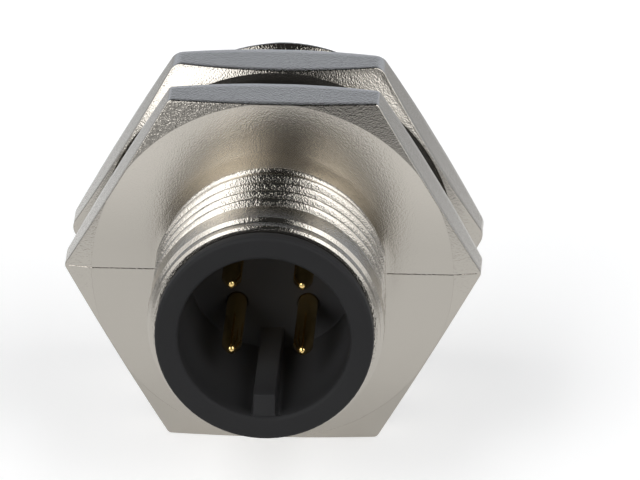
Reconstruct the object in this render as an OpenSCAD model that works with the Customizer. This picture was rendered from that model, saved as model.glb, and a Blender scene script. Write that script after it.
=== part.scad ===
// Panel-mount circular connector, 4-pole, A-coded, male, for a round hole in a panel.
// The axis runs along Y: the mating face looks towards -Y and the solder cups towards +Y.
// The origin is on the axis, in the rear face of the hexagonal flange, which seats on the panel.
// The two hexagons share one bottom flat, on which the connector lies.

/* [Flange] */
// Metal between the rear thread's crest and the flange's flats
flange_wall = 1.4; // [1.2:0.1:3]
// Thickness of the flange
flange_t = 2.7; // [2:0.1:4]
// Slope of the corner chamfers on the flange's front face, in degrees
flange_front_slope = 12; // [5:1:20]
// Slope of the corner chamfers on the flange's rear face, in degrees
flange_rear_slope = 25; // [10:1:30]
// Rounding of the flange's upright corners
flange_corner_r = 0.25; // [0.1:0.05:1.2]

/* [Coupling thread, front] */
// Metal between the carrier's bore and the front thread's crest
collar_wall = 1; // [0.9:0.05:1.5]
// Pitch of the front thread
coupling_pitch = 1; // [0.75:0.25:1.5]
// Length of the metal collar ahead of the flange
collar_l = 7.6; // [6.5:0.1:10]
// Depth of the relief groove at the foot of the collar
collar_relief_h = 0.5; // [0.3:0.05:0.6]
// Length of the plain spigot ahead of the thread
spigot_l = 0.66; // [0.4:0.02:1]
// Step from the thread's crest down to the spigot
spigot_step = 0.2; // [0.16:0.02:0.3]
// Chamfer at the collar's front edge
collar_chamfer = 0.12; // [0.05:0.01:0.2]
// Distance from the thread's crest in to each cast flat at the mould's parting line
parting_flat_h = 0.22; // [0.05:0.01:0.25]

/* [Mounting thread, rear] */
// Outer diameter of the rear thread
mounting_d = 15.2; // [14:0.1:18]
// Pitch of the rear thread
mounting_pitch = 1.41; // [1:0.01:1.6]
// Depth of the rear thread
mounting_depth = 0.67; // [0.4:0.01:0.75]
// Width of the rear thread's flat crest
mounting_crest = 0.22; // [0.1:0.02:0.3]
// Width of the rear thread's flat root
mounting_root = 0.28; // [0.1:0.02:0.3]
// Length of the rear barrel behind the flange
barrel_l = 9.25; // [8:0.05:12]
// Depth of the relief groove that holds the panel seal
barrel_relief_h = 0.7; // [0.5:0.05:0.9]
// Chamfer at the barrel's rear edge
barrel_chamfer = 0.6; // [0.3:0.05:0.8]
// Wall between the rear thread's crest and the well
barrel_wall = 1.6; // [1.2:0.1:1.9]

/* [Lock nut] */
// How much smaller the lock nut is than the flange, across the flats
nut_undersize = 0.1; // [0:0.05:0.3]
// Thickness of the lock nut
nut_t = 2.8; // [2:0.1:3.5]
// Rounding of the nut's upright corners
nut_corner_r = 0.65; // [0.3:0.05:1.2]
// How far the nut's front chamfer reaches in from the middle of each flat
nut_face_inset = 0.15; // [0:0.05:0.4]
// Slope of the nut's front corner chamfers, in degrees
nut_front_slope = 30; // [10:1:32]
// Slope of the nut's rear corner chamfers, in degrees
nut_rear_slope = 24; // [10:1:30]
// Countersink at both ends of the nut's bore
nut_sink = 0.4; // [0.2:0.05:0.5]
// Radial play between the nut's bore and the rear thread
nut_play = 0.05; // [0.03:0.01:0.1]
// Gap between the panel seal and the nut
nut_gap = 0.08; // [0.05:0.01:0.5]

/* [Seals] */
// Cord thickness of the panel seal
panel_cord = 1.6; // [1.2:0.1:1.8]
// Cord thickness of the carrier seal
carrier_cord = 0.8; // [0.5:0.1:1]
// Room that a seal's cord has in its groove
seal_play = 0.02; // [0.01:0.01:0.05]

/* [Contact carrier] */
// Diameter of the cavity that takes the mating plug's face
cavity_d = 8.5; // [8.2:0.1:9.5]
// Depth of the cavity from its mouth
cavity_l = 8.6; // [7.5:0.1:9.5]
// Wall of the shroud inside the metal collar
shroud_wall = 0.6; // [0.4:0.05:0.7]
// Length of the lip that stands ahead of the metal collar
lip_l = 0.8; // [0.5:0.05:1.5]
// Width of the metal rim that shows round the lip
rim_w = 0.16; // [0.1:0.02:0.22]
// Rounding of the lip's outer edge
lip_round = 0.2; // [0.1:0.02:0.3]
// Chamfer at the cavity's mouth
mouth_chamfer = 0.15; // [0.05:0.05:0.3]
// Width of the coding key
key_w = 1.1; // [0.8:0.1:1.4]
// Height of the coding key above the cavity's wall
key_h = 1.15; // [0.8:0.05:1.2]
// Distance from the mouth back to the key's front end
key_setback = 0.25; // [0.1:0.05:1]
// How far the carrier reaches behind the flange's seat
carrier_back = 0.5; // [0.3:0.1:1]
// Length of the carrier behind its seal groove
carrier_heel = 1.3; // [1:0.1:1.6]
// Thickness of the contact retainer
retainer_t = 2; // [1.5:0.1:3]
// Play between the moulded parts and the metal
insert_play = 0.05; // [0.02:0.01:0.1]

/* [Contacts] */
// Diameter of the circle through the contacts
contact_circle = 5; // [4.8:0.1:5.1]
// Diameter of a contact pin
pin_d = 1; // [0.8:0.1:1.1]
// Rounding of a pin's nose
nose_r = 0.27; // [0.15:0.01:0.4]
// Slope of a pin's taper behind its nose, in degrees
nose_slope = 20; // [10:1:40]
// Distance from the mouth back to the pins' tips
pin_setback = 2.55; // [1.5:0.05:4]
// Diameter of the shoulder that the retainer holds
shoulder_d = 2.4; // [2.2:0.1:2.6]
// Thickness of the shoulder
shoulder_t = 0.5; // [0.3:0.1:0.8]
// Diameter of the solder tail
tail_d = 1.8; // [1.6:0.1:2]
// How far the solder tails stand out behind the barrel
tail_out = 1.5; // [0.5:0.1:4]
// Bore of the solder cup
cup_d = 1.2; // [1:0.1:1.3]
// Depth of the solder cup
cup_l = 2.8; // [2:0.1:4]
// Length of the cup's open side
cup_open_l = 1.9; // [1:0.1:2]
// Play between a contact and the hole that holds it
contact_play = 0.03; // [0.02:0.01:0.05]

/* [Hidden] */
$fn = 96;
eps = 0.01;
contact_count = 4;
corner_steps = 6;
round_steps = 5;
// Size of the cutting blocks, larger than the whole part
far = 60;

// Stations along the axis
flange_front = -flange_t;
collar_front = flange_front - collar_l;
mouth = collar_front - lip_l;
cavity_floor = mouth + cavity_l;
thread_front = collar_front + spigot_l;
thread_foot = flange_front - coupling_pitch;
seal_back = panel_cord + 2 * seal_play;
nut_front = seal_back + nut_gap;
retainer_back = carrier_back + retainer_t;
tail_end = barrel_l + tail_out;
pin_tip = mouth + pin_setback;
groove_back = carrier_back - carrier_heel;
groove_front = groove_back - carrier_cord - 2 * seal_play;

// Radii and hexagons
mounting_r = mounting_d / 2;
flange_af = mounting_d + 2 * flange_wall;
nut_af = flange_af - nut_undersize;
carrier_r = cavity_d / 2 + shroud_wall;
carrier_bore_r = carrier_r + insert_play;
coupling_r = carrier_bore_r + collar_wall;
collar_relief_r = coupling_r - collar_relief_h;
spigot_r = coupling_r - spigot_step;
collar_end_r = spigot_r - collar_chamfer;
barrel_relief_r = mounting_r - barrel_relief_h;
well_r = mounting_r - barrel_wall;
nut_bore_r = mounting_r + nut_play;
lip_r = collar_end_r - rim_w;
retainer_r = well_r - insert_play;
groove_r = carrier_bore_r - carrier_cord - seal_play;

// Turns a form built up along Z so that it lies along Y, with Z pointing to the rear
module along_axis() { rotate([-90, 0, 0]) children(); }

// Cylinder between two stations on the axis
module drum(r, from, to) { translate([0, 0, from]) cylinder(r = r, h = to - from); }

// Outline of a hexagon with rounded corners, two of them on the X axis
function hexagon(af, r) = [
    for (corner = [0 : 5], step = [0 : corner_steps])
        let (a = 60 * corner, b = a - 30 + 60 * step / corner_steps,
             reach = (af / 2 - r) / cos(30))
        [reach * cos(a) + r * cos(b), reach * sin(a) + r * sin(b)]
];

// Hexagonal plate whose corners are chamfered by a cone at each end; the front cone starts
// inset from the middle of each flat
module hex_plate(af, r, from, to, front_slope, rear_slope, inset = 0) {
    inner = af / 2;
    outer = af / sqrt(3);
    intersection() {
        translate([0, 0, from]) linear_extrude(to - from) polygon(hexagon(af, r));
        rotate_extrude() polygon([
            [0, from], [inner - inset, from],
            [outer, from + (outer - inner + inset) * tan(front_slope)],
            [outer, to - (outer - inner) * tan(rear_slope)],
            [inner, to], [0, to]
        ]);
    }
}

// The rear thread's grooves as rings, from the front one to the last crest at the chamfer
function mounting_grooves(from, to) = [
    for (i = [floor((to - mounting_crest - from) / mounting_pitch) - 1 : -1 : 0])
        let (middle = to - mounting_crest / 2 - mounting_pitch * (i + 0.5),
             root = mounting_root / 2, crest = (mounting_pitch - mounting_crest) / 2,
             root_r = mounting_r - mounting_depth)
        each [[mounting_r, middle - crest], [root_r, middle - root],
              [root_r, middle + root], [mounting_r, middle + crest]]
];

// Collar and barrel, turned about the axis, as one outer outline from front to rear
module turned_body() {
    slope = 0.5;
    barrel_front = panel_cord + barrel_relief_h * slope;
    barrel_end = barrel_l - barrel_chamfer;
    rotate_extrude() polygon(concat([
        [0, collar_front],
        [collar_end_r, collar_front],
        [spigot_r, collar_front + collar_chamfer],
        [spigot_r, thread_front],
        [coupling_r, thread_front + spigot_step],
        [coupling_r, thread_foot],
        [collar_relief_r, thread_foot + collar_relief_h * slope],
        [collar_relief_r, flange_front + eps],
        [barrel_relief_r, flange_front + eps],
        [barrel_relief_r, panel_cord],
        [mounting_r, barrel_front]
    ], mounting_grooves(barrel_front, barrel_end), [
        [mounting_r, barrel_end],
        [mounting_r - barrel_chamfer, barrel_l],
        [0, barrel_l]
    ]));
}

// The two flats that the casting mould leaves along the collar's thread
module parting_flats() {
    for (side = [-1, 1])
        translate([side * (coupling_r - parting_flat_h + far / 2), 0, flange_front - far / 2])
            cube(far, center = true);
}

module shell() {
    color("silver") along_axis() difference() {
        union() {
            hex_plate(flange_af, flange_corner_r, flange_front, 0,
                      flange_front_slope, flange_rear_slope);
            difference() {
                turned_body();
                parting_flats();
            }
        }
        drum(carrier_bore_r, collar_front - 1, carrier_back + eps);
        drum(well_r, carrier_back, barrel_l + 1);
    }
}

module lock_nut() {
    back = nut_front + nut_t;
    color("lightgray") along_axis() difference() {
        hex_plate(nut_af, nut_corner_r, nut_front, back, nut_front_slope, nut_rear_slope,
                  nut_face_inset);
        drum(nut_bore_r, nut_front - 1, back + 1);
        nut_countersink(nut_front, 1);
        nut_countersink(back, -1);
    }
}

// Cone that opens the nut's bore at one face, where dir points into the nut
module nut_countersink(station, dir) {
    rotate_extrude() polygon([
        [0, station - dir], [nut_bore_r + nut_sink + 1, station - dir],
        [nut_bore_r, station + dir * nut_sink], [0, station + dir * nut_sink]
    ]);
}

// Rubber ring of the given inner radius, with its cord centred on a station
module seal_ring(inner_r, cord, station) {
    translate([0, 0, station]) rotate_extrude()
        translate([inner_r + cord / 2, 0]) circle(d = cord);
}

module panel_seal() {
    color("dimgray") along_axis()
        seal_ring(barrel_relief_r + seal_play, panel_cord, seal_play + panel_cord / 2);
}

module carrier_seal() {
    color("dimgray") along_axis()
        seal_ring(groove_r + seal_play / 2, carrier_cord, (groove_front + groove_back) / 2);
}

// Shroud and lip as one ring-shaped outline, with a rounded outer edge at the mouth
module carrier_blank() {
    rotate_extrude() polygon(concat(
        [[0, mouth]],
        [for (step = [0 : round_steps])
            let (a = 90 * step / round_steps)
            [lip_r - lip_round + lip_round * sin(a), mouth + lip_round - lip_round * cos(a)]],
        [
            [lip_r, collar_front], [carrier_r, collar_front],
            [carrier_r, groove_front], [groove_r, groove_front],
            [groove_r, groove_back], [carrier_r, groove_back],
            [carrier_r, carrier_back], [0, carrier_back]
        ]
    ));
}

// The cavity, with its coding key left standing at the bottom
module cavity() {
    difference() {
        drum(cavity_d / 2, mouth - 1, cavity_floor);
        translate([-key_w / 2, cavity_d / 2 - key_h, mouth + key_setback])
            cube([key_w, key_h + 1, cavity_l]);
    }
    rotate_extrude() polygon([
        [0, mouth - 1], [cavity_d / 2 + mouth_chamfer + 1, mouth - 1],
        [cavity_d / 2, mouth + mouth_chamfer], [0, mouth + mouth_chamfer]
    ]);
}

// Puts a child at each contact's place
module at_contact(i) {
    rotate(45 + 360 / contact_count * i) translate([contact_circle / 2, 0]) children();
}

module contact_carrier() {
    color("#2b2b2c") along_axis() difference() {
        carrier_blank();
        cavity();
        for (i = [0 : contact_count - 1]) at_contact(i) {
            drum(pin_d / 2 + contact_play, cavity_floor - 1, carrier_back + 1);
            drum(shoulder_d / 2 + contact_play, carrier_back - shoulder_t, carrier_back + 1);
        }
    }
}

module contact_retainer() {
    color("#333335") along_axis() difference() {
        drum(retainer_r, carrier_back, retainer_back);
        for (i = [0 : contact_count - 1]) at_contact(i)
            drum(tail_d / 2 + contact_play, carrier_back - 1, retainer_back + 1);
    }
}

// Pin with a round nose and a taper behind it
module pin() {
    nose = [for (step = [0 : round_steps])
        let (a = (90 - nose_slope) * step / round_steps)
        [nose_r * sin(a), pin_tip + nose_r * (1 - cos(a))]];
    taper_l = (pin_d / 2 - nose[round_steps][0]) / tan(nose_slope);
    rotate_extrude() polygon(concat(nose, [
        [pin_d / 2, nose[round_steps][1] + taper_l],
        [pin_d / 2, carrier_back], [0, carrier_back]
    ]));
}

// One contact: pin, shoulder, and a solder cup open away from the axis
module contact(i) {
    color("gold") along_axis() at_contact(i) difference() {
        union() {
            pin();
            drum(shoulder_d / 2, carrier_back - shoulder_t, carrier_back);
            drum(tail_d / 2, carrier_back - shoulder_t / 2, tail_end);
        }
        drum(cup_d / 2, tail_end - cup_l, tail_end + 1);
        translate([0, -tail_d, tail_end - cup_open_l]) cube([tail_d, 2 * tail_d, cup_l]);
    }
}

module contact_pin_1() { contact(0); }
module contact_pin_2() { contact(1); }
module contact_pin_3() { contact(2); }
module contact_pin_4() { contact(3); }

shell();
lock_nut();
panel_seal();
contact_carrier();
carrier_seal();
contact_retainer();
contact_pin_1();
contact_pin_2();
contact_pin_3();
contact_pin_4();
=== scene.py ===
"""Panel-mount circular connector with a threaded collar, a hexagonal flange and a lock nut.

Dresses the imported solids: the threads, the plated casting, the moulded insert and the gilt contacts.
The axis runs along Y with the mating face towards -Y, and all sizes are in metres.
"""

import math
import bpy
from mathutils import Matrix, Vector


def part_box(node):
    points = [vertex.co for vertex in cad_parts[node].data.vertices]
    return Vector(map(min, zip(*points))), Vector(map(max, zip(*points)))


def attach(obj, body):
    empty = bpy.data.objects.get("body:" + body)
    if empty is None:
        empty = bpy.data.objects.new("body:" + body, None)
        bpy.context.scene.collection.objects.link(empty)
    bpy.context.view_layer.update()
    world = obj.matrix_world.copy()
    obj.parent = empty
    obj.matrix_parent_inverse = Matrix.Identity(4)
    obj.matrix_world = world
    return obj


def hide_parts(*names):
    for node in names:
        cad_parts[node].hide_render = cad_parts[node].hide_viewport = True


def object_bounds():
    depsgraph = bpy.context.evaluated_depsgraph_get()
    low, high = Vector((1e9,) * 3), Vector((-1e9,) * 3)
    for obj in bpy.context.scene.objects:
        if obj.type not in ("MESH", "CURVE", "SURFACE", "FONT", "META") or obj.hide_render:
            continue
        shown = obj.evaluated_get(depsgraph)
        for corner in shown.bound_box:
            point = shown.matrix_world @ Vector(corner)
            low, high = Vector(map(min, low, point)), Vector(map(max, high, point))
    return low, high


bl_info = {
    "name": "Panel Connector Dresser",
    "version": (1, 0, 0),
    "blender": (4, 5, 0),
    "location": "3D View > Sidebar > Connector",
    "description": "Builds the finished surfaces of a four-pole panel connector round its solids",
    "category": "Object",
}

import bmesh
import bpy
from bpy.props import FloatProperty, FloatVectorProperty, IntProperty, PointerProperty
from mathutils import Quaternion, Vector

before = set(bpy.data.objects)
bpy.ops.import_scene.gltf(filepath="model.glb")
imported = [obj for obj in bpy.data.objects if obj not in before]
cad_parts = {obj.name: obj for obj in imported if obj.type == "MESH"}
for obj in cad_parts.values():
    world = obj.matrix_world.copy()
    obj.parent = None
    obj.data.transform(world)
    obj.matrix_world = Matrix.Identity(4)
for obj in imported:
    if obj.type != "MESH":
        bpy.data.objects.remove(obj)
CAD_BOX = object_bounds()

MM = 0.001
MICRON = 1e-6
# A distance or station past every surface, for a cut or a mask that isn't wanted
FAR = 1.0

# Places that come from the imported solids
SHELL_LOW, SHELL_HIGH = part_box("shell")
NUT_LOW, NUT_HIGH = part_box("lock_nut")
CARRIER_LOW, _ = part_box("contact_carrier")
RETAINER_LOW, RETAINER_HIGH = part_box("contact_retainer")
SEAL_LOW, SEAL_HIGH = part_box("panel_seal")
# The flange's front face, which lies inside the shell's box
FLANGE_FACE = -2.7 * MM
# Depth and phase of the rear thread, shared by the barrel and the nut so that they mesh
MOUNTING_DEPTH = 0.67 * MM
MOUNTING_PHASE = 0.69
# Part of a pitch over which a thread's depth runs out at its ends
RUN_OUT = 0.5

PIN_NODES = ["contact_pin_1", "contact_pin_2", "contact_pin_3", "contact_pin_4"]


# ---------------------------------------------------------------------------------------------
# Sizes and colours that a user would change
# ---------------------------------------------------------------------------------------------


def length(name, description, default):
    """A property that holds a length, given in millimetres."""
    return FloatProperty(name=name, description=description, default=default * MM, unit="LENGTH")


def slope(name, description, default):
    """A property that holds a slope, given in degrees."""
    return FloatProperty(name=name, description=description, default=math.radians(default),
                         subtype="ANGLE")


def finish_colour(name, description, default):
    """A property that holds a colour in linear light."""
    return FloatVectorProperty(name=name, description=description, default=default,
                               subtype="COLOR")


class ConnectorCasting(bpy.types.PropertyGroup):
    """Sizes of the plated shell that the solids keep simple."""

    flange_t: length("Flange Thickness", "From the front face to the panel seat", -FLANGE_FACE / MM)
    corner_r: length("Corner Radius", "Rounding of the flange's upright corners", 0.25)
    edge_r: length("Edge Radius", "Rounding of the hexagons' face edges", 0.05)
    front_slope: slope("Front Slope", "Slope of the flange's front corner chamfers", 12)
    rear_slope: slope("Rear Slope", "Slope of the flange's rear corner chamfers", 25)
    coupling_r: length("Coupling Radius", "Crest radius of the front thread", 5.9)
    coupling_pitch: length("Coupling Pitch", "Pitch of the front thread", 1.0)
    spigot_l: length("Spigot Length", "Plain spigot ahead of the front thread", 0.66)
    spigot_step: length("Spigot Step", "Step from the crest down to the spigot", 0.2)
    collar_chamfer: length("Collar Chamfer", "Chamfer at the collar's front edge", 0.12)
    lead_l: length("Lead Length", "Plain stretch ahead of the front thread", 1.15)
    lead_drop: length("Lead Drop", "How much the plain stretch narrows towards the mouth", 0.05)
    relief_h: length("Collar Relief", "Depth of the groove at the collar's foot", 0.5)
    parting_flat_h: length("Parting Flat", "Depth of the cast flats at the parting line", 0.22)
    mounting_r: length("Mounting Radius", "Crest radius of the rear thread", 7.6)
    mounting_pitch: length("Mounting Pitch", "Pitch of the rear thread", 1.41)
    barrel_relief_h: length("Barrel Relief", "Depth of the seal's groove", 0.7)
    barrel_chamfer: length("Barrel Chamfer", "Chamfer at the barrel's rear edge", 0.6)
    bore_r: length("Carrier Bore", "Radius of the bore that holds the carrier", 4.9)
    flash_w: length("Flash Width", "Width of the parting line's flash", 0.07)


class ConnectorNut(bpy.types.PropertyGroup):
    """Sizes of the lock nut."""

    front_slope: slope("Front Slope", "Slope of the nut's front corner chamfers", 26)
    rear_slope: slope("Rear Slope", "Slope of the nut's rear corner chamfers", 24)
    bore_r: length("Bore Radius", "Radius of the nut's bore over its thread's roots", 7.65)
    sink: length("Countersink", "Countersink at both ends of the bore", 0.4)
    corner_r: length("Corner Radius", "Rounding of the nut's upright corners", 0.65)
    face_inset: length("Face Inset", "Reach of the front chamfer in from the flats", 0.1)


class ConnectorInsert(bpy.types.PropertyGroup):
    """Sizes of the moulded insert and its contacts that the solids leave sharp."""

    moulded_edge_r: length("Moulded Edge", "Rounding of the carrier's and retainer's edges", 0.08)
    contact_edge_r: length("Contact Edge", "Rounding of a contact's edges", 0.04)


class ConnectorLook(bpy.types.PropertyGroup):
    """Colours, and how fine the meshes are."""

    nickel: finish_colour("Nickel", "Colour of the nickel plating", (0.5, 0.472, 0.426))
    plastic: finish_colour("Plastic", "Colour of the moulded insert", (0.025, 0.025, 0.026))
    rubber: finish_colour("Rubber", "Colour of the seals", (0.018, 0.018, 0.018))
    gold: finish_colour("Gold", "Colour of the contacts' plating", (0.86, 0.62, 0.25))
    columns: IntProperty(
        name="Columns", description="Steps round the axis of the turned meshes", default=240, min=48)
    thread_rows: IntProperty(
        name="Thread Rows", description="Rows along the axis for one turn of a thread",
        default=16, min=8)


# ---------------------------------------------------------------------------------------------
# Turned meshes: rows of points round the Y axis, whose radius may change with the angle
# ---------------------------------------------------------------------------------------------


def hexagon_radius(angle, across, corner_r):
    """Distance from the axis to a hexagon with rounded corners, two of them on the X axis."""
    from_flat = (angle - math.pi / 2 + math.pi / 6) % (math.pi / 3) - math.pi / 6
    apothem = across / 2
    tangent = math.atan2((apothem - corner_r) * math.tan(math.pi / 6), apothem)
    if abs(from_flat) <= tangent:
        return apothem / math.cos(from_flat)
    centre = (apothem - corner_r) / math.cos(math.pi / 6)
    off = math.pi / 6 - abs(from_flat)
    inside = corner_r ** 2 - (centre * math.sin(off)) ** 2
    return centre * math.cos(off) + math.sqrt(max(inside, 0.0))


def hexagon_columns(columns, across, corner_r):
    """Even angles round the axis, with extra ones over the rounding of a hexagon's corners."""
    extra_steps, extra_spread = 9, 1.15
    digits, least_step = 6, 2e-4
    apothem = across / 2
    rounding = math.pi / 6 - math.atan2((apothem - corner_r) * math.tan(math.pi / 6), apothem)
    angles = {round(2 * math.pi * i / columns, digits) for i in range(columns)}
    for corner in range(6):
        for k in range(-extra_steps, extra_steps + 1):
            angle = corner * math.pi / 3 + extra_spread * rounding * k / extra_steps
            angles.add(round(angle % (2 * math.pi), digits))
    kept = []
    for angle in sorted(angles):
        if not kept or angle - kept[-1] > least_step:
            kept.append(angle)
    return kept


def new_object(name, data):
    """An object in the scene, at the origin."""
    made = bpy.data.objects.new(name, data)
    bpy.context.scene.collection.objects.link(made)
    return made


def mesh_object(name, mesh):
    """An object with what a bmesh holds; the bmesh is freed."""
    data = bpy.data.meshes.new(name)
    mesh.to_mesh(data)
    mesh.free()
    return new_object(name, data)


def turned_mesh(name, rows, angles):
    """A closed mesh round the Y axis from (radius, station, sharp) rows; the last joins the first.

    A radius or a station is a number or a function of the angle. A sharp row is a crease.
    """
    mesh = bmesh.new()
    grid = []
    for radius, station, _ in rows:
        ring = []
        for angle in angles:
            r = radius(angle) if callable(radius) else radius
            y = station(angle) if callable(station) else station
            ring.append(mesh.verts.new((r * math.cos(angle), y, r * math.sin(angle))))
        grid.append(ring)
    count = len(angles)
    for i, near in enumerate(grid):
        far = grid[(i + 1) % len(grid)]
        for j in range(count):
            k = (j + 1) % count
            mesh.faces.new((near[j], near[k], far[k], far[j])).smooth = True
    for ring, (_, _, sharp) in zip(grid, rows):
        if sharp:
            for j in range(count):
                mesh.edges.get((ring[j], ring[(j + 1) % count])).smooth = False
    bmesh.ops.recalc_face_normals(mesh, faces=mesh.faces)
    return mesh_object(name, mesh)


def straight(start, end, steps, sharp=False):
    """Rows from start up to but not including end, both (radius, station) pairs of numbers."""
    rows = []
    for i in range(steps):
        t = i / steps
        rows.append((start[0] + (end[0] - start[0]) * t, start[1] + (end[1] - start[1]) * t,
                     sharp and i == 0))
    return rows


def arc(centre, radius, first, last, steps):
    """Rows on an arc in the plane of radius and station; angles from +radius towards +station."""
    rows = []
    for i in range(steps + 1):
        a = first + (last - first) * i / steps
        rows.append((centre[0] + radius * math.cos(a), centre[1] + radius * math.sin(a), False))
    return rows


def hexagon_rows(inner_front, inner_rear, front, rear, across, corner_r, edge_r, slopes, inset=0.0):
    """Rows over a hexagonal plate: out along its front face, over its flats and in along its rear.

    The slopes are those of the front and rear corner chamfers, which are cones. The front one
    starts inset from the middle of each flat.
    """
    face_steps, chamfer_steps, edge_steps, flat_steps = 8, 4, 3, 6
    apothem = across / 2
    # Where the even rows of a face end, and where its chamfer starts
    face_end, chamfer_start = apothem * 0.97, apothem * 0.999
    # The least width of a chamfer, where it meets the middle of a flat
    least_chamfer = 0.3 * edge_r

    def outer(angle, drop=0.0):
        return hexagon_radius(angle, across - 2 * drop, corner_r - drop)

    def cone(side, station, chamfer_slope, start):
        def at(r):
            return station + side * max(0.0, r - start) * math.tan(chamfer_slope)
        return at

    front_at = cone(1, front, slopes[0], apothem - inset)
    rear_at = cone(-1, rear, slopes[1], apothem)

    def face_rows(inner, station):
        return [(inner + (face_end - inner) * i / (face_steps - 1), station, False)
                for i in range(1, face_steps)]

    def chamfer_rows(at, start):
        made = []
        for i in range(chamfer_steps):
            t = i / chamfer_steps

            def radius(angle, t=t):
                rim = outer(angle, edge_r)
                return min(start, rim - least_chamfer) * (1 - t) + rim * t

            made.append((radius, lambda angle, radius=radius: at(radius(angle)), i == 0))
        return made

    def edge_rows(at, side):
        made = []
        for i in range(edge_steps + 1):
            turn = math.pi / 2 * i / edge_steps

            def radius(angle, turn=turn):
                return outer(angle, edge_r * (1 - math.sin(turn)))

            def station(angle, turn=turn):
                return at(outer(angle, edge_r)) + side * edge_r * (1 - math.cos(turn))

            made.append((radius, station, False))
        return made

    front_edge = edge_rows(front_at, 1)
    rear_edge = edge_rows(rear_at, -1)
    flat = []
    for i in range(1, flat_steps):
        t = i / flat_steps

        def station(angle, t=t):
            return front_edge[-1][1](angle) * (1 - t) + rear_edge[-1][1](angle) * t

        flat.append((outer, station, False))
    return (face_rows(inner_front, front) + chamfer_rows(front_at, chamfer_start - inset)
            + front_edge + flat + rear_edge[::-1] + chamfer_rows(rear_at, chamfer_start)[::-1]
            + face_rows(inner_rear, rear)[::-1])


def finished_copy(node, name, edge_r, material):
    """A copy of a node's solid with its triangles merged and its edges rounded."""
    merge = 0.5 * MICRON
    flat_angle = math.radians(0.5)
    edge_angle = math.radians(38)
    segments = 2
    mesh = bmesh.new()
    mesh.from_mesh(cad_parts[node].data)
    bmesh.ops.remove_doubles(mesh, verts=mesh.verts, dist=merge)
    bmesh.ops.dissolve_limit(mesh, angle_limit=flat_angle, verts=mesh.verts, edges=mesh.edges)
    piece = mesh_object(name, mesh)
    bevel = piece.modifiers.new("edges", "BEVEL")
    bevel.width = edge_r
    bevel.segments = segments
    bevel.limit_method = "ANGLE"
    bevel.angle_limit = edge_angle
    flatten_modifiers(piece)
    for face in piece.data.polygons:
        face.use_smooth = True
    piece.data.set_sharp_from_angle(angle=edge_angle)
    dress(piece, material)
    return piece


def flatten_modifiers(piece):
    """Turns what the modifiers make into a plain mesh and removes them."""
    graph = bpy.context.evaluated_depsgraph_get()
    made = bpy.data.meshes.new_from_object(piece.evaluated_get(graph))
    made.name = piece.name
    piece.modifiers.clear()
    piece.data = made


def dress(piece, material):
    """Gives a piece one material in its only slot."""
    piece.data.materials.clear()
    piece.data.materials.append(material)


# ---------------------------------------------------------------------------------------------
# Geometry Nodes
# ---------------------------------------------------------------------------------------------


class TreeWriter:
    """Adds nodes to a tree and links them, so that a formula reads as one line for each step."""

    def __init__(self, tree):
        self.tree = tree

    def node(self, kind, **settings):
        """A new node with its settings."""
        made = self.tree.nodes.new(kind)
        for key, value in settings.items():
            setattr(made, key, value)
        return made

    def feed(self, socket, value):
        """Links a socket to another one, or sets its constant."""
        if isinstance(value, bpy.types.NodeSocket):
            self.tree.links.new(value, socket)
        elif value is not None:
            socket.default_value = value

    def math(self, operation, a, b=None, c=None, clamp=False):
        """One sum on up to three values."""
        made = self.node("ShaderNodeMath", operation=operation, use_clamp=clamp)
        for socket, value in zip(made.inputs, (a, b, c)):
            self.feed(socket, value)
        return made.outputs[0]

    def split(self, vector):
        """The three parts of a vector."""
        made = self.node("ShaderNodeSeparateXYZ")
        self.feed(made.inputs[0], vector)
        return made.outputs

    def join(self, x, y, z):
        """A vector of three parts."""
        made = self.node("ShaderNodeCombineXYZ")
        for socket, value in zip(made.inputs, (x, y, z)):
            self.feed(socket, value)
        return made.outputs[0]

    def off_axis(self, x, z):
        """The distance from the Y axis."""
        return self.math("SQRT", self.math("ADD", self.math("MULTIPLY", x, x),
                                           self.math("MULTIPLY", z, z)))

    def ramp(self, value, span, result=(0.0, 1.0), kind="SMOOTHSTEP"):
        """Takes a value's span to the result's, and holds it past both ends."""
        made = self.node("ShaderNodeMapRange", interpolation_type=kind)
        self.feed(made.inputs["Value"], value)
        for label, number in zip(("From Min", "From Max", "To Min", "To Max"), (*span, *result)):
            made.inputs[label].default_value = number
        return made.outputs["Result"]

    def noise(self, place, size, detail=2.0):
        """Noise whose grains are about as large as size."""
        made = self.node("ShaderNodeTexNoise")
        self.feed(made.inputs["Vector"], place)
        self.feed(made.inputs["Scale"], self.math("DIVIDE", 1.0, size))
        self.feed(made.inputs["Detail"], detail)
        return made.outputs["Fac"]

    def add_shaders(self, first, second):
        """Both shaders on top of each other."""
        made = self.node("ShaderNodeAddShader")
        self.feed(made.inputs[0], first)
        self.feed(made.inputs[1], second)
        return made.outputs[0]


def emptied_tree(block):
    """A writer for the node tree of a new material or world, with its default nodes removed."""
    block.use_nodes = True
    block.node_tree.nodes.clear()
    return TreeWriter(block.node_tree)


def new_tree(name, kind, inputs, outputs):
    """A node group with named inputs (name, socket type, default) and outputs (name, socket type)."""
    tree = bpy.data.node_groups.new(name, kind)
    for label, socket_type, default in inputs:
        socket = tree.interface.new_socket(label, in_out="INPUT", socket_type=socket_type)
        if default is not None:
            socket.default_value = default
    for label, socket_type in outputs:
        tree.interface.new_socket(label, in_out="OUTPUT", socket_type=socket_type)
    return tree


def set_inputs(modifier, values):
    """Sets a Geometry Nodes modifier's inputs by their names."""
    for item in modifier.node_group.interface.items_tree:
        if item.item_type == "SOCKET" and item.in_out == "INPUT" and item.name in values:
            modifier[item.identifier] = values[item.name]


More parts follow.
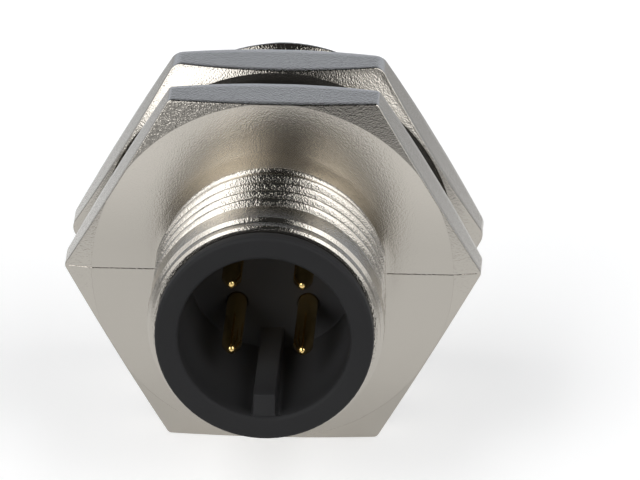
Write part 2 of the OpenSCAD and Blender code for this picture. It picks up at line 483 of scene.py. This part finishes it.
def thread_tree():
    """Cuts a right-handed thread into a cylinder about the Y axis, by moving its points inwards.

    Only points near Wall Radius move. Flat Distance cuts the thread flat on its left and right.
    """
    crest_share, root_share = 0.16, 0.2
    wall_play = 20 * MICRON
    least_across = 0.05
    number = "NodeSocketFloat"
    tree = new_tree("screw_thread", "GeometryNodeTree", [
        ("Geometry", "NodeSocketGeometry", None),
        ("Wall Radius", number, 0.0059), ("Depth", number, 0.0006), ("Pitch", number, 0.001),
        ("Start", number, 0.0), ("End", number, 0.01), ("Run Out", number, 0.0005),
        ("Phase", number, 0.0), ("Flat Distance", number, FAR),
        ("Material", "NodeSocketMaterial", None),
    ], [("Geometry", "NodeSocketGeometry")])
    w = TreeWriter(tree)
    given = w.node("NodeGroupInput").outputs
    x, y, z = w.split(w.node("GeometryNodeInputPosition").outputs[0])
    radius = w.off_axis(x, z)
    turns = w.math("DIVIDE", w.math("ARCTAN2", z, x), 2 * math.pi)
    along = w.math("ADD", w.math("DIVIDE", y, given["Pitch"]), given["Phase"])
    phase = w.math("FRACT", w.math("ADD", along, turns))
    from_root = w.math("MULTIPLY", w.math("ABSOLUTE", w.math("SUBTRACT", phase, 0.5)), 2.0)
    sloped = w.math("SUBTRACT", 1.0 - crest_share, from_root)
    cut = w.math("DIVIDE", sloped, 1.0 - crest_share - root_share, clamp=True)
    rise = w.math("DIVIDE", w.math("SUBTRACT", y, given["Start"]), given["Run Out"], clamp=True)
    fall = w.math("DIVIDE", w.math("SUBTRACT", given["End"], y), given["Run Out"], clamp=True)
    depth = w.math("MULTIPLY", w.math("MULTIPLY", cut, given["Depth"]), w.math("MULTIPLY", rise, fall))
    threaded = w.math("SUBTRACT", radius, depth)
    across = w.math("MAXIMUM", w.math("DIVIDE", w.math("ABSOLUTE", x), radius), least_across)
    flattened = w.math("MINIMUM", threaded, w.math("DIVIDE", given["Flat Distance"], across))
    off_wall = w.math("ABSOLUTE", w.math("SUBTRACT", radius, given["Wall Radius"]))
    scale = w.math("DIVIDE", flattened, radius)
    mover = w.node("GeometryNodeSetPosition")
    w.feed(mover.inputs["Geometry"], given["Geometry"])
    w.feed(mover.inputs["Selection"], w.math("LESS_THAN", off_wall, wall_play))
    w.feed(mover.inputs["Position"],
           w.join(w.math("MULTIPLY", x, scale), y, w.math("MULTIPLY", z, scale)))
    finish_tree(w, mover.outputs[0], given["Material"])
    return tree


def finish_tree(w, geometry, material):
    """Ends a Geometry Nodes tree: real geometry with one material."""
    real = w.node("GeometryNodeRealizeInstances")
    w.feed(real.inputs[0], geometry)
    coat = w.node("GeometryNodeSetMaterial")
    w.feed(coat.inputs["Geometry"], real.outputs[0])
    w.feed(coat.inputs["Material"], material)
    out = w.node("NodeGroupOutput")
    w.feed(out.inputs[0], coat.outputs[0])


def circle_tree():
    """Repeats one piece at even turns round the Y axis."""
    tree = new_tree("contact_circle", "GeometryNodeTree", [
        ("Geometry", "NodeSocketGeometry", None), ("Count", "NodeSocketInt", 4),
        ("Material", "NodeSocketMaterial", None),
    ], [("Geometry", "NodeSocketGeometry")])
    w = TreeWriter(tree)
    given = w.node("NodeGroupInput").outputs
    places = w.node("GeometryNodeMeshLine")
    w.feed(places.inputs["Count"], given["Count"])
    w.feed(places.inputs["Offset"], (0, 0, 0))
    index = w.node("GeometryNodeInputIndex").outputs[0]
    turn = w.math("DIVIDE", w.math("MULTIPLY", index, 2 * math.pi), given["Count"])
    spread = w.node("GeometryNodeInstanceOnPoints")
    w.feed(spread.inputs["Points"], places.outputs[0])
    w.feed(spread.inputs["Instance"], given["Geometry"])
    w.feed(spread.inputs["Rotation"], w.join(0.0, turn, 0.0))
    finish_tree(w, spread.outputs[0], given["Material"])
    return tree


def flash_tree():
    """Sweeps a thin uneven ridge outwards from the axis, over a flat face and its corner chamfer."""
    ridge_sides = 8
    number = "NodeSocketFloat"
    tree = new_tree("parting_flash", "GeometryNodeTree", [
        ("Geometry", "NodeSocketGeometry", None),
        ("Inner", number, 0.006), ("Outer", number, 0.01), ("Station", number, 0.0),
        ("Chamfer Start", number, 0.009), ("Chamfer Slope", number, 0.2),
        ("Thickness", number, 0.00006), ("Unevenness", number, 0.5), ("Grain", number, 0.0003),
        ("Steps", "NodeSocketInt", 120), ("Material", "NodeSocketMaterial", None),
    ], [("Geometry", "NodeSocketGeometry")])
    w = TreeWriter(tree)
    given = w.node("NodeGroupInput").outputs
    line = w.node("GeometryNodeCurvePrimitiveLine")
    w.feed(line.inputs["Start"], w.join(given["Inner"], given["Station"], 0.0))
    w.feed(line.inputs["End"], w.join(given["Outer"], given["Station"], 0.0))
    steps = w.node("GeometryNodeResampleCurve")
    w.feed(steps.inputs["Curve"], line.outputs[0])
    w.feed(steps.inputs["Count"], given["Steps"])
    place = w.node("GeometryNodeInputPosition").outputs[0]
    x, y, _ = w.split(place)
    grain = w.noise(place, given["Grain"])
    uneven = w.math("MULTIPLY", w.math("SUBTRACT", grain, 0.5), given["Unevenness"])
    past = w.math("SUBTRACT", w.math("ABSOLUTE", x), given["Chamfer Start"])
    back = w.math("MULTIPLY", w.math("MAXIMUM", past, 0.0), given["Chamfer Slope"])
    wander = w.math("MULTIPLY", uneven, given["Thickness"])
    mover = w.node("GeometryNodeSetPosition")
    w.feed(mover.inputs["Geometry"], steps.outputs[0])
    w.feed(mover.inputs["Position"], w.join(x, w.math("ADD", y, back), wander))
    profile = w.node("GeometryNodeCurvePrimitiveCircle")
    w.feed(profile.inputs["Resolution"], ridge_sides)
    w.feed(profile.inputs["Radius"], 1.0)
    sweep = w.node("GeometryNodeCurveToMesh")
    w.feed(sweep.inputs["Curve"], mover.outputs[0])
    w.feed(sweep.inputs["Profile Curve"], profile.outputs[0])
    half = w.math("MULTIPLY", given["Thickness"], 0.5)
    w.feed(sweep.inputs["Scale"], w.math("MULTIPLY", half, w.math("ADD", uneven, 1.0)))
    w.feed(sweep.inputs["Fill Caps"], True)
    finish_tree(w, sweep.outputs[0], given["Material"])
    return tree


def run_tree(piece, name, maker, values):
    """Runs a Geometry Nodes tree on a piece and keeps the result as its mesh."""
    modifier = piece.modifiers.new(name, "NODES")
    modifier.node_group = bpy.data.node_groups.get(name) or maker()
    set_inputs(modifier, values)
    flatten_modifiers(piece)


# ---------------------------------------------------------------------------------------------
# Materials
# ---------------------------------------------------------------------------------------------


def grain_and_light_group():
    """The pattern that every finish shares, with masks for one flat face and one deep bore.

    Height is fine grain and pits, scaled by Face Grain on the flat face at Face Station. Stain is
    slow noise. Face is 1 on that face. Upper Face rises to 1 towards its top and Zone lies inside
    Zone Radius, rising to 1 over Zone Depth behind Zone Front; both mask painted light.
    """
    face_play = 5 * MICRON
    # Heights on the flat face over which its painted light rises
    face_light_span = (1 * MM, 7 * MM)
    name = "surface_grain_and_light"
    if name in bpy.data.node_groups:
        return bpy.data.node_groups[name]
    number = "NodeSocketFloat"
    tree = new_tree(name, "ShaderNodeTree", [
        ("Grain Size", number, 0.0001), ("Pit Size", number, 0.0003), ("Pit Share", number, 0.3),
        ("Stain Size", number, 0.004), ("Face Station", number, FAR), ("Face Grain", number, 1.0),
        ("Zone Front", number, FAR), ("Zone Radius", number, 0.005),
        ("Zone Depth", number, 0.008),
    ], [("Height", number), ("Stain", number), ("Face", number),
        ("Upper Face", number), ("Zone", number)])
    w = TreeWriter(tree)
    given = w.node("NodeGroupInput").outputs
    place = w.node("ShaderNodeTexCoord").outputs["Object"]
    x, y, z = w.split(place)
    fine = w.noise(place, given["Grain Size"], detail=1.0)
    stain = w.noise(place, given["Stain Size"])
    cells = w.node("ShaderNodeTexVoronoi")
    w.feed(cells.inputs["Vector"], place)
    w.feed(cells.inputs["Scale"], w.math("DIVIDE", 1.0, given["Pit Size"]))
    pits = w.math("MULTIPLY", cells.outputs["Distance"], given["Pit Share"])

    off_face = w.math("ABSOLUTE", w.math("SUBTRACT", y, given["Face Station"]))
    on_face = w.math("LESS_THAN", off_face, face_play)
    share = w.math("MULTIPLY_ADD", on_face, w.math("SUBTRACT", given["Face Grain"], 1.0), 1.0)
    within = w.math("LESS_THAN", w.off_axis(x, z), given["Zone Radius"])
    depth = w.math("SUBTRACT", y, given["Zone Front"])
    behind = w.math("DIVIDE", depth, given["Zone Depth"], clamp=True)

    out = w.node("NodeGroupOutput")
    w.feed(out.inputs["Height"], w.math("MULTIPLY", w.math("ADD", fine, pits), share))
    w.feed(out.inputs["Stain"], stain)
    w.feed(out.inputs["Face"], on_face)
    # Masks for painted light: the upper part of the flat face, and the deep part of the bore
    w.feed(out.inputs["Upper Face"], w.math("MULTIPLY", on_face, w.ramp(z, face_light_span)))
    w.feed(out.inputs["Zone"], w.math("MULTIPLY", within, behind))
    return tree


def surface_material(name, colour, metallic, rough, grain, bump, tint, specular=0.5,
                     face_rough=None, face_light_gain=1.0, cavity_light_gain=1.0):
    """The material of that name, made from the shared pattern when it isn't there yet.

    rough is the roughness without and with a stain, bump is (strength, height), and tint is how
    far a stain shifts the colour. The flat face may have its own roughness. The gains paint light
    into the colour: they make the upper part of that face, and the far end of the bore, paler.
    """
    if name in bpy.data.materials:
        return bpy.data.materials[name]
    stain_span = (0.3, 0.7)
    material = bpy.data.materials.new(name)
    w = emptied_tree(material)
    shader = w.node("ShaderNodeBsdfPrincipled")
    shader.inputs["Metallic"].default_value = metallic
    shader.inputs["Specular IOR Level"].default_value = specular
    group = w.node("ShaderNodeGroup", node_tree=grain_and_light_group())
    for label, value in grain.items():
        group.inputs[label].default_value = value

    plain_rough = w.ramp(group.outputs["Stain"], stain_span, rough, "LINEAR")
    more = w.math("SUBTRACT", face_rough or rough[1], plain_rough)
    w.feed(shader.inputs["Roughness"],
           w.math("MULTIPLY_ADD", group.outputs["Face"], more, plain_rough))

    blend = w.node("ShaderNodeMix", data_type="RGBA")
    w.feed(blend.inputs["Factor"], group.outputs["Stain"])
    blend.inputs["A"].default_value = (*[c * (1 - tint) for c in colour], 1)
    blend.inputs["B"].default_value = (*[min(1.0, c * (1 + tint)) for c in colour], 1)
    # Painted light: the gains raise the colour on the upper part of the flat face and deep in the bore
    gain = w.math("MULTIPLY_ADD", group.outputs["Zone"], cavity_light_gain - 1.0, 1.0)
    gain = w.math("MULTIPLY_ADD", group.outputs["Upper Face"], face_light_gain - 1.0, gain)
    lift = w.node("ShaderNodeVectorMath", operation="SCALE")
    w.feed(lift.inputs[0], blend.outputs["Result"])
    w.feed(lift.inputs["Scale"], gain)
    w.feed(shader.inputs["Base Color"], lift.outputs[0])

    relief = w.node("ShaderNodeBump")
    relief.inputs["Strength"].default_value, relief.inputs["Distance"].default_value = bump
    w.feed(relief.inputs["Height"], group.outputs["Height"])
    w.feed(shader.inputs["Normal"], relief.outputs["Normal"])
    out = w.node("ShaderNodeOutputMaterial")
    w.feed(out.inputs["Surface"], shader.outputs[0])
    return material


def plated_casting():
    """Nickel plating over the fine grain of a zinc casting, with a duller and less grainy face."""
    grain = {"Grain Size": 0.065 * MM, "Pit Size": 0.11 * MM, "Pit Share": 0.4, "Stain Size": 5 * MM,
             "Face Station": FLANGE_FACE, "Face Grain": 0.3}
    # Painted light: the upper part of the flange face is made paler, for the brighter light it
    # reflects there
    return surface_material(
        "plated casting", bpy.context.scene.connector_look.nickel, metallic=1.0, rough=(0.07, 0.1),
        grain=grain, bump=(1.0, 13 * MICRON), tint=0.03, face_rough=0.21, face_light_gain=1.36)


def plated_nut():
    """Nickel plating over a cast nut, a little smoother than the shell."""
    grain = {"Grain Size": 0.065 * MM, "Pit Size": 0.12 * MM, "Pit Share": 0.3, "Stain Size": 6 * MM}
    return surface_material(
        "plated nut", bpy.context.scene.connector_look.nickel, metallic=1.0, rough=(0.07, 0.1),
        grain=grain, bump=(1.0, 12 * MICRON), tint=0.03)


def moulded_plastic():
    """Black polyamide with a fine mould texture, and painted light deep in the cavity."""
    grain = {"Grain Size": 0.08 * MM, "Pit Size": 0.2 * MM, "Pit Share": 0.2, "Stain Size": 3 * MM,
             "Zone Front": CARRIER_LOW.y + 1.0 * MM, "Zone Depth": 7 * MM, "Zone Radius": 5.1 * MM}
    # Painted light: the plastic is made paler deep in the cavity, lifting the shade there
    return surface_material(
        "moulded plastic", bpy.context.scene.connector_look.plastic, metallic=0.0,
        rough=(0.5, 0.58), grain=grain, bump=(0.25, 4 * MICRON), tint=0.1, specular=0.1,
        cavity_light_gain=3.8)


def seal_rubber():
    """Smooth black nitrile."""
    grain = {"Grain Size": 0.15 * MM, "Pit Size": 0.4 * MM, "Pit Share": 0.1, "Stain Size": 2 * MM}
    return surface_material(
        "seal rubber", bpy.context.scene.connector_look.rubber, metallic=0.0, rough=(0.5, 0.62),
        grain=grain, bump=(0.2, 4 * MICRON), tint=0.1)


def contact_gold():
    """Gold plating on a turned contact."""
    grain = {"Grain Size": 0.06 * MM, "Pit Size": 0.2 * MM, "Pit Share": 0.1, "Stain Size": 1 * MM}
    return surface_material(
        "contact gold", bpy.context.scene.connector_look.gold, metallic=1.0, rough=(0.1, 0.15),
        grain=grain, bump=(0.2, 2 * MICRON), tint=0.04)


# ---------------------------------------------------------------------------------------------
# Operators: one for each piece or group of like pieces
# ---------------------------------------------------------------------------------------------


def cut_mounting_thread(piece, wall_r, front, back, material):
    """Cuts the rear thread into a piece, over and past both of its ends."""
    pitch = bpy.context.scene.connector_casting.mounting_pitch
    run_tree(piece, "screw_thread", thread_tree, {
        "Wall Radius": wall_r, "Depth": MOUNTING_DEPTH, "Pitch": pitch, "Start": front - pitch,
        "End": back + pitch, "Run Out": RUN_OUT * pitch, "Phase": MOUNTING_PHASE,
        "Flat Distance": FAR, "Material": material})


class ConnectorShell(bpy.types.Operator):
    """Builds the plated shell with its flange, its two threads and its bores"""

    bl_idname = "connector.shell"
    bl_label = "Shell"

    def execute(self, context):
        size = context.scene.connector_casting
        look = context.scene.connector_look
        relief_slope = 0.5
        foot_round = 0.25 * MM
        rim_round = 0.04 * MM
        spigot_rows, foot_rows, bore_rows = 4, 4, 8
        coupling_depth = 0.6 * size.coupling_pitch
        coupling_phase = 0.95

        across = SHELL_HIGH.z - SHELL_LOW.z
        front, back = SHELL_LOW.y, SHELL_HIGH.y
        thread_front = front + size.spigot_l
        flange_front = -size.flange_t
        foot = flange_front - size.coupling_pitch
        shoulder = RETAINER_LOW.y
        spigot_r = size.coupling_r - size.spigot_step
        relief_r = size.coupling_r - size.relief_h
        well_r = RETAINER_HIGH.x

        lead_start = (size.coupling_r - size.lead_drop, thread_front + size.spigot_step)
        crest_start = (size.coupling_r, lead_start[1] + size.lead_l)
        crest_end = (size.coupling_r, foot)
        lead_rows = round(size.lead_l / size.coupling_pitch * look.thread_rows)
        front_rows = round((foot - crest_start[1]) / size.coupling_pitch * look.thread_rows)
        neck = (size.mounting_r - size.barrel_relief_h, SEAL_HIGH.y - SEAL_LOW.y)
        rear_start = (size.mounting_r, neck[1] + size.barrel_relief_h * relief_slope)
        rear_end = (size.mounting_r, back - size.barrel_chamfer)
        rear_rows = round((rear_end[1] - rear_start[1]) / size.mounting_pitch * look.thread_rows)

        # The collar: its mouth, its spigot, the front thread and the relief at its foot
        rows = [(size.bore_r, front + rim_round, True), (size.bore_r + rim_round, front, True)]
        rows += [(spigot_r - size.collar_chamfer, front, True)]
        rows += [(spigot_r, front + size.collar_chamfer, True)]
        rows += straight((spigot_r, front + size.collar_chamfer), (spigot_r, thread_front),
                         spigot_rows)[1:]
        rows += [(spigot_r, thread_front, True)]
        rows += straight(lead_start, crest_start, lead_rows, True)
        rows += straight(crest_start, crest_end, front_rows)
        rows += [crest_end + (True,), (relief_r, foot + size.relief_h * relief_slope, True)]
        rows += arc((relief_r + foot_round, flange_front - foot_round), foot_round,
                    math.pi, math.pi / 2, foot_rows)
        # The flange, then the barrel: its neck, the rear thread and its end
        rows += hexagon_rows(relief_r + foot_round, neck[0], flange_front, 0.0, across,
                             size.corner_r, size.edge_r, (size.front_slope, size.rear_slope))
        rows += [(neck[0], 0.0, True), neck + (True,)]
        rows += straight(rear_start, rear_end, rear_rows, True)
        rows += [rear_end + (True,), (size.mounting_r - size.barrel_chamfer, back, True)]
        # The well behind the retainer, its shoulder and the carrier's bore
        rows += [(well_r + rim_round, back, True), (well_r, back - rim_round, True)]
        rows += straight((well_r, back - rim_round), (well_r, shoulder), bore_rows)[1:]
        rows += [(well_r, shoulder, True), (size.bore_r, shoulder, True)]
        rows += straight((size.bore_r, shoulder), (size.bore_r, front + rim_round), bore_rows)[1:]

        shell = turned_mesh("plated_shell", rows, hexagon_columns(look.columns, across, size.corner_r))
        material = plated_casting()
        run_tree(shell, "screw_thread", thread_tree, {
            "Wall Radius": size.coupling_r, "Depth": coupling_depth,
            "Pitch": size.coupling_pitch, "Start": crest_start[1],
            "End": foot + size.coupling_pitch, "Run Out": RUN_OUT * size.coupling_pitch,
            "Phase": coupling_phase, "Flat Distance": size.coupling_r - size.parting_flat_h,
            "Material": material})
        cut_mounting_thread(shell, size.mounting_r, rear_start[1], back, material)
        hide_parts("shell")
        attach(shell, "connector")
        return {"FINISHED"}


class ConnectorLockNut(bpy.types.Operator):
    """Builds the lock nut with its chamfers and its inner thread"""

    bl_idname = "connector.lock_nut"
    bl_label = "Lock Nut"

    def execute(self, context):
        size = context.scene.connector_nut
        casting = context.scene.connector_casting
        look = context.scene.connector_look
        across = NUT_HIGH.z - NUT_LOW.z
        front, back = NUT_LOW.y, NUT_HIGH.y
        mouth_r = size.bore_r + size.sink
        wall_rows = round((back - front - 2 * size.sink) / casting.mounting_pitch * look.thread_rows)
        rows = [(mouth_r, front, True)]
        rows += hexagon_rows(mouth_r, mouth_r, front, back, across, size.corner_r,
                             casting.edge_r, (size.front_slope, size.rear_slope),
                             size.face_inset)
        rows += [(mouth_r, back, True)]
        rows += straight((size.bore_r, back - size.sink), (size.bore_r, front + size.sink),
                         wall_rows, True)
        rows += [(size.bore_r, front + size.sink, True)]
        nut = turned_mesh("plated_lock_nut", rows,
                          hexagon_columns(look.columns, across, size.corner_r))
        cut_mounting_thread(nut, size.bore_r, front, back, plated_nut())
        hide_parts("lock_nut")
        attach(nut, "nut")
        return {"FINISHED"}


class ConnectorInsertParts(bpy.types.Operator):
    """Finishes the moulded carrier and the retainer behind it"""

    bl_idname = "connector.insert"
    bl_label = "Moulded Insert"

    def execute(self, context):
        edge_r = context.scene.connector_insert.moulded_edge_r
        for node, name in (("contact_carrier", "moulded_carrier"),
                           ("contact_retainer", "moulded_retainer")):
            piece = finished_copy(node, name, edge_r, moulded_plastic())
            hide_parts(node)
            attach(piece, "connector")
        return {"FINISHED"}


class ConnectorContacts(bpy.types.Operator):
    """Finishes one gilt contact with its solder cup and repeats it round the axis"""

    bl_idname = "connector.contacts"
    bl_label = "Contacts"

    def execute(self, context):
        edge_r = context.scene.connector_insert.contact_edge_r
        contacts = finished_copy(PIN_NODES[0], "gilt_contacts", edge_r, contact_gold())
        run_tree(contacts, "contact_circle", circle_tree,
                 {"Count": len(PIN_NODES), "Material": contact_gold()})
        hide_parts(*PIN_NODES)
        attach(contacts, "connector")
        return {"FINISHED"}


class ConnectorFlash(bpy.types.Operator):
    """Raises the thin flash that the casting mould leaves across the flange's front face"""

    bl_idname = "connector.flash"
    bl_label = "Parting Flash"

    def execute(self, context):
        size = context.scene.connector_casting
        inner = size.coupling_r - size.parting_flat_h
        apothem = (SHELL_HIGH.z - SHELL_LOW.z) / 2
        widths_short_of_corner = 3
        reach = SHELL_HIGH.x - size.flash_w * widths_short_of_corner
        for name, side in (("parting_flash_left", -1), ("parting_flash_right", 1)):
            flash = new_object(name, bpy.data.meshes.new(name))
            run_tree(flash, "parting_flash", flash_tree, {
                "Inner": side * inner, "Outer": side * reach, "Station": -size.flange_t,
                "Chamfer Start": apothem, "Chamfer Slope": math.tan(size.front_slope),
                "Thickness": size.flash_w, "Material": plated_casting()})
            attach(flash, "connector")
        return {"FINISHED"}


class ConnectorSeals(bpy.types.Operator):
    """Gives the two rubber rings their finish"""

    bl_idname = "connector.seals"
    bl_label = "Seals"

    def execute(self, context):
        for node in ("panel_seal", "carrier_seal"):
            dress(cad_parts[node], seal_rubber())
        return {"FINISHED"}


class ConnectorStage(bpy.types.Operator):
    """Sets the floor, the light and the camera"""

    bl_idname = "connector.stage"
    bl_label = "Stage"

    def execute(self, context):
        build_floor()
        build_world(context.scene)
        build_camera(context.scene)
        return {"FINISHED"}


# ---------------------------------------------------------------------------------------------
# Stage
# ---------------------------------------------------------------------------------------------


def build_floor():
    """A wide pale floor with the connector's shadow: white to the camera, and fading with distance
    to all other rays. Only the camera, reflections and glass see its glow.
    """
    half = 3.0
    # Where the floor starts and ends to fade, and how much of its level is left past that
    near, far, far_level = 0.036, 0.08, 0.5
    tone, glow, camera_glow = 0.7, 0.28, 0.17
    height = CAD_BOX[0].z
    data = bpy.data.meshes.new("floor")
    data.from_pydata([(-half, -half, height), (half, -half, height), (half, half, height),
                      (-half, half, height)], [], [(0, 1, 2, 3)])
    floor = new_object("floor", data)
    material = bpy.data.materials.new("pale floor")
    w = emptied_tree(material)
    reach = w.node("ShaderNodeVectorMath", operation="LENGTH")
    w.feed(reach.inputs[0], w.node("ShaderNodeTexCoord").outputs["Object"])
    ray = w.node("ShaderNodeLightPath").outputs
    fade = w.ramp(reach.outputs["Value"], (near, far), (1.0, far_level))
    level = w.math("MAXIMUM", fade, ray["Is Camera Ray"])
    shade = w.math("MULTIPLY", level, tone)
    matt = w.node("ShaderNodeBsdfDiffuse")
    w.feed(matt.inputs["Color"], w.join(shade, shade, shade))
    emission = w.node("ShaderNodeEmission")
    w.feed(emission.inputs["Strength"], w.math("MULTIPLY_ADD", ray["Is Camera Ray"], camera_glow,
                                               w.math("MULTIPLY", level, glow)))
    seen = w.math("MAXIMUM", ray["Is Camera Ray"], ray["Is Glossy Ray"])
    seen = w.math("MAXIMUM", seen, ray["Is Transmission Ray"])
    pick = w.node("ShaderNodeMixShader")
    w.feed(pick.inputs[0], seen)
    w.feed(pick.inputs[1], matt.outputs[0])
    w.feed(pick.inputs[2], w.add_shaders(matt.outputs[0], emission.outputs[0]))
    out = w.node("ShaderNodeOutputMaterial")
    w.feed(out.inputs["Surface"], pick.outputs[0])
    dress(floor, material)


def build_world(scene):
    """A studio tent: bright walls left and right, a dim roof, and a cool wall low down behind."""
    # Strengths: of a wall near its inner edge and at its far side, of the roof, and behind
    wall, side, roof, rear = 3.6, 1.5, 0.04, 0.73
    rear_colour = (0.8, 0.87, 1.0, 1)
    # How far the walls' inner edges lean outwards as they rise
    left_lean, right_lean = 0.2, 0.3
    # Where each edge of the light starts and ends, as parts of a unit direction
    left_edge, right_edge, far_sides = (0.1, 0.22), (0.1, 0.2), (0.55, 0.8)
    foot, back_end = (0.02, 0.2), (-0.45, -0.05)
    rear_start, rear_top = (0.15, 0.6), (0.42, 0.5)
    # The right wall's front end is shaded by this part of it
    front_end, front_shade = (0.7, 0.86), 0.8

    world = bpy.data.worlds.new("studio")
    w = emptied_tree(world)
    scene.world = world
    x, y, z = w.split(w.node("ShaderNodeTexCoord").outputs["Generated"])
    forward = w.math("MULTIPLY", y, -1.0)
    to_left = w.math("MULTIPLY_ADD", z, -left_lean, w.math("MULTIPLY", x, -1.0))
    to_right = w.math("MULTIPLY_ADD", z, -right_lean, x)
    left = w.ramp(to_left, left_edge, (0.0, wall))
    unshaded = w.math("SUBTRACT", 1.0, w.ramp(forward, front_end, (0.0, front_shade)))
    right = w.math("MULTIPLY", w.ramp(to_right, right_edge, (0.0, wall)), unshaded)
    dimmed = w.ramp(w.math("ABSOLUTE", x), far_sides, (0.0, wall - side))
    walls = w.math("SUBTRACT", w.math("MAXIMUM", left, right), dimmed)
    ends = w.math("MULTIPLY", w.ramp(forward, back_end), w.ramp(z, foot))
    walls = w.math("MULTIPLY", w.math("MAXIMUM", walls, 0.0), ends)
    tent = w.node("ShaderNodeBackground")
    w.feed(tent.inputs["Strength"], w.math("ADD", walls, roof))

    under = w.math("SUBTRACT", 1.0, w.ramp(z, rear_top))
    behind = w.node("ShaderNodeBackground")
    behind.inputs["Color"].default_value = rear_colour
    w.feed(behind.inputs["Strength"], w.math("MULTIPLY", w.ramp(y, rear_start, (0.0, rear)), under))
    out = w.node("ShaderNodeOutputWorld")
    w.feed(out.inputs["Surface"], w.add_shaders(tent.outputs[0], behind.outputs[0]))


def build_camera(scene):
    """A long lens, a little above the connector and a little to its right."""
    azimuth = math.radians(2.75)
    elevation = math.radians(23.34)
    roll = math.radians(0.11)
    distance = 0.9717
    lens = 1099.9
    # How far the flange's front face lies off the camera's axis, to the right and up
    off_right, off_up = -2.354 * MM, -1.572 * MM
    back = Vector((math.sin(azimuth) * math.cos(elevation),
                   -math.cos(azimuth) * math.cos(elevation), math.sin(elevation)))
    right = Vector((math.cos(azimuth), math.sin(azimuth), 0))
    up = back.cross(right)
    aim = Vector((0, -scene.connector_casting.flange_t, 0))
    data = bpy.data.cameras.new("camera")
    data.lens = lens
    data.clip_start = 0.1
    data.clip_end = 5
    camera = new_object("camera", data)
    camera.location = aim - off_right * right - off_up * up + distance * back
    turned = (-back).to_track_quat("-Z", "Y") @ Quaternion((0, 0, 1), roll)
    camera.rotation_euler = turned.to_euler()
    scene.camera = camera
    scene.view_settings.view_transform = "Standard"


# ---------------------------------------------------------------------------------------------
# Add-on
# ---------------------------------------------------------------------------------------------

OPERATORS = [ConnectorShell, ConnectorFlash, ConnectorLockNut, ConnectorInsertParts,
             ConnectorContacts, ConnectorSeals, ConnectorStage]
GROUPS = {"connector_casting": ConnectorCasting, "connector_nut": ConnectorNut,
          "connector_insert": ConnectorInsert, "connector_look": ConnectorLook}


class ConnectorPanel(bpy.types.Panel):
    """Lists the connector's pieces and their sizes in the sidebar"""

    bl_idname = "VIEW3D_PT_connector"
    bl_label = "Connector"
    bl_space_type = "VIEW_3D"
    bl_region_type = "UI"
    bl_category = "Connector"

    def draw(self, context):
        column = self.layout.column(align=True)
        for operator in OPERATORS:
            column.operator(operator.bl_idname)
        for name, group in GROUPS.items():
            box = self.layout.box()
            values = getattr(context.scene, name)
            for label in group.__annotations__:
                box.prop(values, label)


def register():
    """Registers the classes and puts their values on the scene."""
    for group in GROUPS.values():
        bpy.utils.register_class(group)
    for operator in OPERATORS:
        bpy.utils.register_class(operator)
    bpy.utils.register_class(ConnectorPanel)
    for name, group in GROUPS.items():
        setattr(bpy.types.Scene, name, PointerProperty(type=group))


def unregister():
    """Takes back what register did."""
    for name in GROUPS:
        delattr(bpy.types.Scene, name)
    bpy.utils.unregister_class(ConnectorPanel)
    for operator in reversed(OPERATORS):
        bpy.utils.unregister_class(operator)
    for group in reversed(list(GROUPS.values())):
        bpy.utils.unregister_class(group)


def main():
    """Builds every piece, then the stage."""
    register()
    bpy.ops.connector.shell()
    bpy.ops.connector.flash()
    bpy.ops.connector.lock_nut()
    bpy.ops.connector.insert()
    bpy.ops.connector.contacts()
    bpy.ops.connector.seals()
    bpy.ops.connector.stage()


if __name__ == "__main__":
    main()
